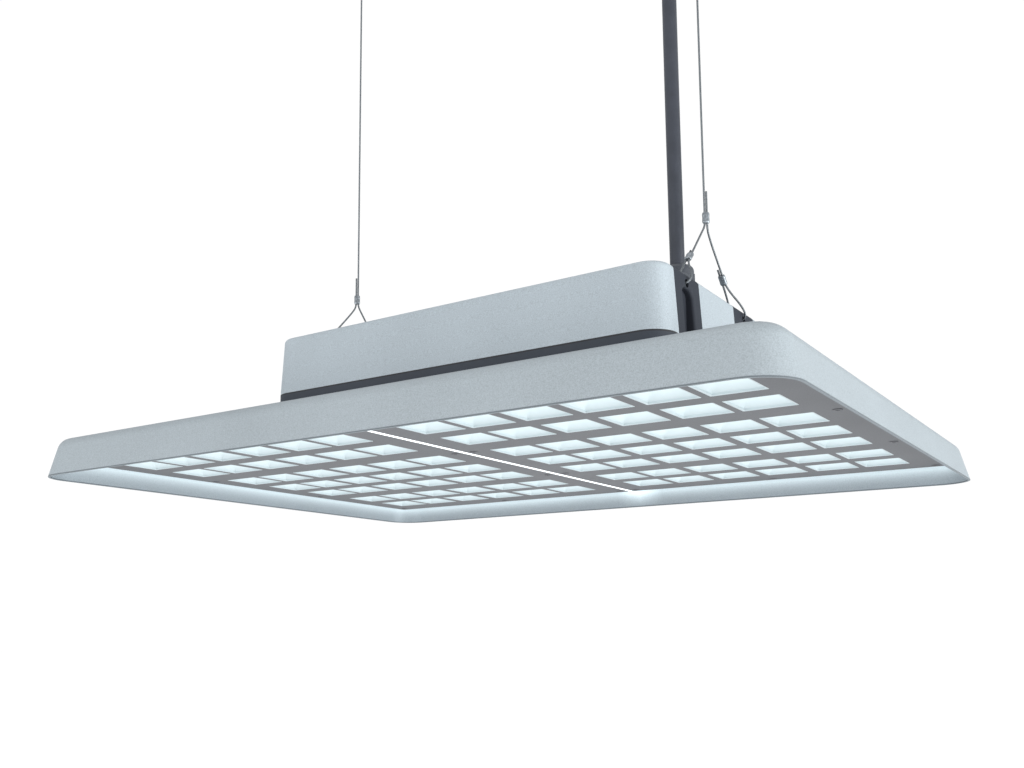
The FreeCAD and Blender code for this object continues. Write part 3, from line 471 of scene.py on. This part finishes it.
def skin(name, rings, closed_ends=True):
    """A smooth closed mesh through rings of equally many points."""
    mesh = bpy.data.meshes.new(name)
    count = len(rings[0])
    faces = []
    for i in range(len(rings) - 1):
        for k in range(count):
            following = (k + 1) % count
            faces.append((i * count + k, i * count + following,
                          (i + 1) * count + following, (i + 1) * count + k))
    if closed_ends:
        faces.append(tuple(reversed(range(count))))
        faces.append(tuple((len(rings) - 1) * count + k for k in range(count)))
    mesh.from_pydata([tuple(p) for ring in rings for p in ring], [], faces)
    mesh.polygons.foreach_set("use_smooth", [True] * len(mesh.polygons))
    return mesh


# ---------------------------------------------------------------- cords

def route_curve(name, points):
    """A curve of one open NURBS spline with the route's points as its control points."""
    curve = bpy.data.curves.new(name, "CURVE")
    curve.dimensions = "3D"
    curve.resolution_u = 16
    spline = curve.splines.new("NURBS")
    spline.points.add(len(points) - 1)
    for point, place in zip(spline.points, points):
        point.co = (*place, 1)
    spline.order_u = 3
    spline.use_endpoint_u = True
    return curve


def route_line(name, points):
    """Points along the route's spline."""
    holder = bpy.data.objects.new(name, route_curve(name, points))
    scene.collection.objects.link(holder)
    line_mesh = bpy.data.meshes.new_from_object(holder)
    line = [vertex.co.copy() for vertex in line_mesh.vertices]
    bpy.data.objects.remove(holder)
    bpy.data.meshes.remove(line_mesh)
    return line


def evenly(line, step):
    """The same line as points about one step apart, ends kept."""
    out = [line[0]]
    for start, end in zip(line, line[1:]):
        parts = max(1, round((end - start).length / step))
        out += [start.lerp(end, k / parts) for k in range(1, parts + 1)]
    return out


ROPE_LAY = 9 * MM
ROPE_STEP = 0.75 * MM
STRANDS = 6
STRAND_POINTS = 4
STRAND_CREST = 0.82 * MM
STRAND_WRAP = math.radians(112)


def strand_outline():
    """The outline of the strands laid round the rope's core, as angles and distances."""
    share = math.sin(math.pi / STRANDS)
    strand_radius = STRAND_CREST * share / (1 + share)
    reach = STRAND_CREST - strand_radius
    outline = []
    for k in range(STRANDS):
        middle = 2 * math.pi * k / STRANDS
        for i in range(STRAND_POINTS):
            lean = (i / (STRAND_POINTS - 1) - 0.5) * 2 * STRAND_WRAP
            x = reach * math.cos(middle) + strand_radius * math.cos(middle + lean)
            y = reach * math.sin(middle) + strand_radius * math.sin(middle + lean)
            outline.append((math.atan2(y, x), math.hypot(x, y)))
    return outline


def wire_rope(name, points):
    """Strands twisted about the route; returns the mesh and its centreline."""
    line = evenly(route_line(name, points), ROPE_STEP)
    outline = strand_outline()
    rings = []
    ahead = (line[1] - line[0]).normalized()
    side = ahead.orthogonal().normalized()
    travelled = 0.0
    for i, point in enumerate(line):
        before, after = line[max(0, i - 1)], line[min(len(line) - 1, i + 1)]
        heading = (after - before).normalized()
        side.rotate(ahead.rotation_difference(heading))
        side = (side - heading * side.dot(heading)).normalized()
        ahead = heading
        across = heading.cross(side)
        travelled += (point - before).length if i else 0
        twist = 2 * math.pi * travelled / ROPE_LAY
        rings.append([point + side * (distance * math.cos(angle + twist))
                      + across * (distance * math.sin(angle + twist))
                      for angle, distance in outline])
    return skin(name, rings), line


# The right suspension's routes. The left one is the same, turned half a turn about Z.
WIRE_X = 0.1684
WIRE_TOP = (WIRE_X, 0.0, 0.5045)
MAIN_APEX = [(WIRE_X, 0.0, 0.1850), (WIRE_X, 0.0, 0.1760)]
BRIDLE_TAIL = [(0.16975, 0.00105, 0.2026), (0.16975, 0.00105, 0.1850), (0.16955, 0.00120, 0.1760)]
# A leg and its loop round the rear bracket's bar, for +Y; the front one is its mirror image.
LEG_AND_LOOP = [
    (0.16855, 0.0062, 0.16950), (0.16920, 0.02824, 0.14660), (0.16925, 0.03655, 0.13795),
    (0.17760, 0.04890, 0.12390), (0.17760, 0.05430, 0.11640), (0.16700, 0.05430, 0.11640),
    (0.16700, 0.04890, 0.12390), (0.16755, 0.03655, 0.13795), (0.16720, 0.02547, 0.14949),
]
CABLE_ROUTE = [(0.1460, 0.0, 0.1460), (0.1454, 0.0004, 0.2580), (0.1455, 0.0005, 0.4200),
               (0.1460, 0.0, 0.5505)]
CABLE_DIAMETER = 0.011
LEG_FERRULE = (WIRE_X, 0.0317, 0.1430)
APEX_FERRULE = (0.16908, 0.00052, 0.1820)
# The apex ferrule's flat side follows the line from the main wire to the tail beside it.
APEX_TURN = math.radians(38)
LEG_LEAN = math.atan2(LEG_FERRULE[1], MAIN_APEX[1][2] - LEG_FERRULE[2])


def turned(points, left):
    return [(-x, -y, z) for x, y, z in points] if left else list(points)


def front(points):
    return [(x, -y, z) for x, y, z in points]


def crimp_ferrule(name, place, turn, body, *replaced):
    """A flattened sleeve pressed onto two strands, slightly waisted by the press."""
    half_width, half_depth = 2.68 * MM, 1.78 * MM
    profile = [(-4.05, 0.55), (-4.1, 0.80), (-3.8, 0.91), (-3.1, 0.98), (-2.3, 1.0), (-1.6, 0.985),
               (-0.8, 0.965), (0, 0.96), (0.8, 0.965), (1.6, 0.985), (2.3, 1.0), (3.1, 0.98),
               (3.8, 0.91), (4.1, 0.80), (4.05, 0.55)]
    around = 32
    rings = []
    for height, size in profile:
        ring = []
        for k in range(around):
            angle = 2 * math.pi * k / around
            x = math.copysign(abs(math.cos(angle)) ** 0.75, math.cos(angle))
            y = math.copysign(abs(math.sin(angle)) ** 0.75, math.sin(angle))
            ring.append(Vector((x * half_width * size, y * half_depth * size, height * MM)))
        rings.append(ring)
    mesh = skin(name, rings)
    mesh.transform(Matrix.Translation(place) @ turn.to_matrix().to_4x4())
    return new_piece(name, mesh, body, "ferrule", *replaced)


def add_suspension(side):
    """The two wire ropes of one side with their three ferrules."""
    left = side == "left"
    body = f"{side}_suspension"
    half_turn = Quaternion((0, 0, 1), math.pi if left else 0)
    across = Quaternion((0, 0, 1), APEX_TURN)
    apex = crimp_ferrule(f"{side}_apex_crimp", turned([APEX_FERRULE], left)[0],
                         half_turn @ across, body, f"{side}_apex_ferrule")
    for name, sign, place in (("rear", 1, [LEG_FERRULE]), ("front", -1, front([LEG_FERRULE]))):
        lean = Quaternion((1, 0, 0), sign * LEG_LEAN)
        crimp_ferrule(
            f"{side}_leg_crimp_{name}", turned(place, left)[0], half_turn @ lean, body,
            f"{side}_leg_ferrules")
    routes = {
        "main": turned([WIRE_TOP] + MAIN_APEX + front(LEG_AND_LOOP), left),
        "bridle": turned(BRIDLE_TAIL + LEG_AND_LOOP, left),
    }
    for name, route in routes.items():
        mesh, line = wire_rope(f"{side}_{name}_rope", route)
        rope = new_piece(f"{side}_{name}_rope", mesh, body, "wire_rope", f"{side}_{name}_wire")


def add_power_cable():
    curve = route_curve("supply_cable", CABLE_ROUTE)
    curve.bevel_depth = CABLE_DIAMETER / 2
    curve.bevel_resolution = 10
    curve.use_fill_caps = True
    cable = new_piece("supply_cable", curve, "power_cable", "cable_sheath", "power_cable")


# ---------------------------------------------------------------- light modules

COLUMNS = [sign * x for x in (0.0209, 0.0627, 0.1020) for sign in (-1, 1)]
ROWS = [0.0] + [sign * y for y in (0.0521, 0.1145, 0.1666) for sign in (-1, 1)]
WINDOW_LENGTH, WINDOW_WIDTH, WINDOW_CORNER = 0.0342, 0.0358, 0.0008
CUP_GAP = 0.1 * MM
CUP_WALL = 0.5 * MM
CUP_BACK = 5.4 * MM
CUP_STEPS = 9
CUP_CURVE = 1.35
CUP_BACK_CORNER = 3 * MM
SKIRT_SHEET = 1.2 * MM
SKIRT_OVERLAP = 1.4 * MM


def rounded_ring(x, y, z, half_length, half_width, corner, per_corner=5):
    """Points round a rectangle with rounded corners, level at height z."""
    ring = []
    for quarter, (sign_x, sign_y) in enumerate(((1, 1), (-1, 1), (-1, -1), (1, -1))):
        for i in range(per_corner):
            angle = math.pi / 2 * (quarter + i / (per_corner - 1))
            ring.append(Vector((x + sign_x * (half_length - corner) + corner * math.cos(angle),
                                y + sign_y * (half_width - corner) + corner * math.sin(angle), z)))
    return ring


def cup_rings(x, y, mouth, back):
    """A reflector cup: its curved inner wall up to the diode, then its outside down again."""
    inner, outer = [], []
    for i in range(CUP_STEPS + 1):
        rise = i / CUP_STEPS
        narrowing = rise ** CUP_CURVE
        half_length = (WINDOW_LENGTH / 2 - CUP_GAP) * (1 - narrowing) + CUP_BACK * narrowing
        half_width = (WINDOW_WIDTH / 2 - CUP_GAP) * (1 - narrowing) + CUP_BACK * narrowing
        corner = WINDOW_CORNER + CUP_BACK_CORNER * rise
        height = mouth + (back - mouth) * rise
        inner.append(rounded_ring(x, y, height, half_length - CUP_WALL, half_width - CUP_WALL,
                                  corner))
        outer.append(rounded_ring(x, y, height, half_length, half_width, corner))
    lip = rounded_ring(x, y, mouth, WINDOW_LENGTH / 2 - CUP_GAP - CUP_WALL / 2,
                       WINDOW_WIDTH / 2 - CUP_GAP - CUP_WALL / 2, WINDOW_CORNER)
    return [lip] + inner + outer[::-1] + [lip]


def joined(name, pieces):
    """One mesh out of several, which are used up."""
    builder = bmesh.new()
    for piece in pieces:
        builder.from_mesh(piece)
        bpy.data.meshes.remove(piece)
    mesh = bpy.data.meshes.new(name)
    builder.to_mesh(mesh)
    builder.free()
    return mesh


def skirt_mesh(name, low, high, foot, thickness, holes):
    """A thin sheet with one opening for each cup."""
    xs = sorted({low.x, high.x, *(edge for hole in holes for edge in (hole[0], hole[1]))})
    ys = sorted({low.y, high.y, *(edge for hole in holes for edge in (hole[2], hole[3]))})
    builder = bmesh.new()
    grid = [[builder.verts.new((x, y, foot)) for y in ys] for x in xs]
    for i in range(len(xs) - 1):
        for j in range(len(ys) - 1):
            x, y = (xs[i] + xs[i + 1]) / 2, (ys[j] + ys[j + 1]) / 2
            if not any(a < x < b and c < y < d for a, b, c, d in holes):
                builder.faces.new((grid[i][j], grid[i][j + 1], grid[i + 1][j + 1], grid[i + 1][j]))
    loose = [vertex for vertex in builder.verts if not vertex.link_faces]
    bmesh.ops.delete(builder, geom=loose, context="VERTS")
    bmesh.ops.solidify(builder, geom=builder.faces[:], thickness=-thickness)
    mesh = bpy.data.meshes.new(name)
    builder.to_mesh(mesh)
    builder.free()
    return mesh


def add_reflectors(side):
    """One module's smooth cups and the sheet that carries them."""
    low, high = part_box(f"reflector_{side}")
    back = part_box(f"led_board_{side}")[0].z
    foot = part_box(f"grid_plate_{side}")[1].z
    middle = (low.x + high.x) / 2
    cups, holes = [], []
    half_length = WINDOW_LENGTH / 2 - SKIRT_OVERLAP
    half_width = WINDOW_WIDTH / 2 - SKIRT_OVERLAP
    for x in COLUMNS:
        for y in ROWS:
            cups.append(skin("cup", cup_rings(middle + x, y, low.z, back), closed_ends=False))
            holes.append((middle + x - half_length, middle + x + half_length,
                          y - half_width, y + half_width))
    skirt = skirt_mesh("skirt", low, high, foot, SKIRT_SHEET, holes)
    new_piece(f"cups_{side}", joined(f"cups_{side}", cups + [skirt]), "luminaire", "reflector",
              f"reflector_{side}")


DIODE_HALF = 2.5 * MM
DIODE_CORNER = 0.35 * MM
LENS_RADIUS = 1.9 * MM
LENS_STEPS = 6


def diode_mesh(x, y, top, thickness):
    """A surface-mount diode hanging from its board: a stepped case with a domed lens."""
    case = []
    for drop, inset in ((0, 0), (0.75, 0.02), (0.9, 0.15), (0.95, 0.4), (0.8, 0.55)):
        half = DIODE_HALF - inset * MM
        case.append(rounded_ring(x, y, top - drop * thickness, half, half, DIODE_CORNER, 8))
    lens = []
    for i in range(LENS_STEPS + 1):
        lift = math.pi / 2 * i / LENS_STEPS
        radius = max(0.02 * MM, LENS_RADIUS * math.cos(lift))
        lens.append(rounded_ring(x, y, top - thickness * (0.8 + 1.1 * math.sin(lift)),
                                 radius, radius, radius * 0.99, 8))
    return skin("diode", case + lens)


def add_diodes(side):
    low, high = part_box(f"led_chips_{side}")
    middle = (low.x + high.x) / 2
    diodes = [diode_mesh(middle + x, y, high.z, high.z - low.z) for x in COLUMNS for y in ROWS]
    new_piece(f"diodes_{side}", joined(f"diodes_{side}", diodes), "luminaire", "led_chip",
              f"led_chips_{side}")


# ---------------------------------------------------------------- screws and nozzles

def socket_screw(foot, facing, head, shank, socket):
    """A screw whose head bears at foot and looks along facing, with a hexagon socket.

    The head and the shank are given as a radius and a length.
    """
    head_radius, head_height = head
    shank_radius, shank_length = shank
    around = 36
    ahead = Vector(facing)
    side = ahead.orthogonal().normalized()
    across = ahead.cross(side)

    def ring(height, radius, hexagon=0.0):
        points = []
        for k in range(around):
            angle = 2 * math.pi * k / around
            flat = math.cos(math.pi / 6) / math.cos((angle % (math.pi / 3)) - math.pi / 6)
            reach = radius * (1 + (flat - 1) * hexagon)
            points.append(Vector(foot) + ahead * height + side * (reach * math.cos(angle))
                          + across * (reach * math.sin(angle)))
        return points

    rings = [ring(-shank_length, shank_radius * 0.8), ring(-shank_length * 0.94, shank_radius),
             ring(0, shank_radius), ring(0, head_radius * 0.95),
             ring(0.12 * head_height, head_radius), ring(0.6 * head_height, head_radius),
             ring(0.88 * head_height, head_radius * 0.93), ring(head_height, head_radius * 0.82),
             ring(head_height, socket * 1.12), ring(0.95 * head_height, socket, 1.0),
             ring(0.3 * head_height, socket * 0.97, 1.0), ring(0.22 * head_height, socket * 0.5),
             ring(0.2 * head_height, socket * 0.06)]
    return skin("screw", rings)


PLATE_SCREWS = [(sign * x, y) for sign in (-1, 1) for x in (0.0086, 0.2756)
                for y in (-0.207, -0.0695, 0.0695, 0.207)]
PLATE_SCREWS += [(x, y) for x in (-0.1421, 0.1421) for y in (-0.207, 0.207)]
COVER_SCREWS = [(x, y) for x in (-0.142, 0.142) for y in (-0.082, 0.082)]
BRACKET_SCREWS = [(y, z) for y in (-0.0543, 0.0543) for z in (0.040, 0.054)]


def add_screws():
    """The screws that show on the finished light, with their sockets."""
    low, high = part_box("plate_screws")
    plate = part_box("grid_plate_right")[0].z
    screws = [socket_screw((x, y, plate), (0, 0, -1), head=(3 * MM, plate - low.z),
                           shank=(1.5 * MM, high.z - plate), socket=1.5 * MM)
              for x, y in PLATE_SCREWS]
    new_piece("plate_socket_screws", joined("plate_socket_screws", screws), "luminaire",
              "plate_paint", "plate_screws")
    low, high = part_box("cover_screws")
    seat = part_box("driver_cover")[1].z
    screws = [socket_screw((x, y, seat), (0, 0, 1), head=(4 * MM, high.z - seat),
                           shank=(2 * MM, seat - low.z), socket=2 * MM)
              for x, y in COVER_SCREWS]
    new_piece("cover_socket_screws", joined("cover_socket_screws", screws), "luminaire",
              "zinc_steel", "cover_screws")


def add_bracket_screws():
    """Two screws in the recess of each end bracket."""
    head_height = 4.5 * MM
    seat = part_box("bracket_screws")[1].x - head_height
    screws = [socket_screw((sign * seat, y, z), (sign, 0, 0), head=(4.2 * MM, head_height),
                           shank=(2.5 * MM, 16 * MM), socket=2 * MM)
              for sign in (-1, 1) for y, z in BRACKET_SCREWS]
    new_piece("bracket_socket_screws", joined("bracket_socket_screws", screws), "luminaire",
              "zinc_steel", "bracket_screws")


def add_nozzle(side):
    """The wire grip's release nozzle, knurled round its collar so that fingers can hold it."""
    node = f"{side}_release_nozzle"
    low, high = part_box(node)
    x, y = (low.x + high.x) / 2, (low.y + high.y) / 2
    collar, stem, bore = (high.x - low.x) / 2, 3 * MM, 1 * MM
    shoulder = low.z + 4.5 * MM
    around, ridges = 120, 30

    def ring(height, radius, knurl=0.0):
        points = []
        for k in range(around):
            angle = 2 * math.pi * k / around
            reach = radius * (1 - knurl * (0.5 + 0.5 * math.cos(ridges * angle)))
            points.append(Vector((x + reach * math.cos(angle), y + reach * math.sin(angle),
                                  height)))
        return points

    rings = [ring(low.z, bore), ring(low.z, collar * 0.80), ring(low.z + 0.25 * MM, collar * 0.92),
             ring(low.z + 0.7 * MM, collar * 0.95), ring(low.z + 0.9 * MM, collar, 0.09),
             ring(shoulder - 0.9 * MM, collar, 0.09), ring(shoulder - 0.7 * MM, collar * 0.95),
             ring(shoulder - 0.2 * MM, collar * 0.90), ring(shoulder, collar * 0.82),
             ring(shoulder, stem), ring(high.z - 0.3 * MM, stem), ring(high.z, stem * 0.92),
             ring(high.z, bore), ring(low.z, bore)]
    new_piece(f"{side}_knurled_nozzle", skin("nozzle", rings, closed_ends=False),
              f"{side}_nozzle", "nickel", node)


# ---------------------------------------------------------------- the scene

scene.view_settings.view_transform = "Standard"
finish_cad_nodes()
add_camera()
add_world()
add_floor(studio_floor())
add_sun("overhead", (0.15, 0.1, -1), 0.3, 40)
add_area_light("key", (2.6, 0.2, -0.35), (0.1, 0, 0.05), 2.2, 55, (0.95, 0.99, 1))
add_area_light("fill", (-0.9, -2.6, -0.55), (0, 0, 0.08), 2.4, 26, (0.97, 0.99, 1))
for side in ("left", "right"):
    add_reflectors(side)
    add_diodes(side)
    add_suspension(side)
    add_nozzle(side)
add_screws()
add_bracket_screws()
add_power_cable()
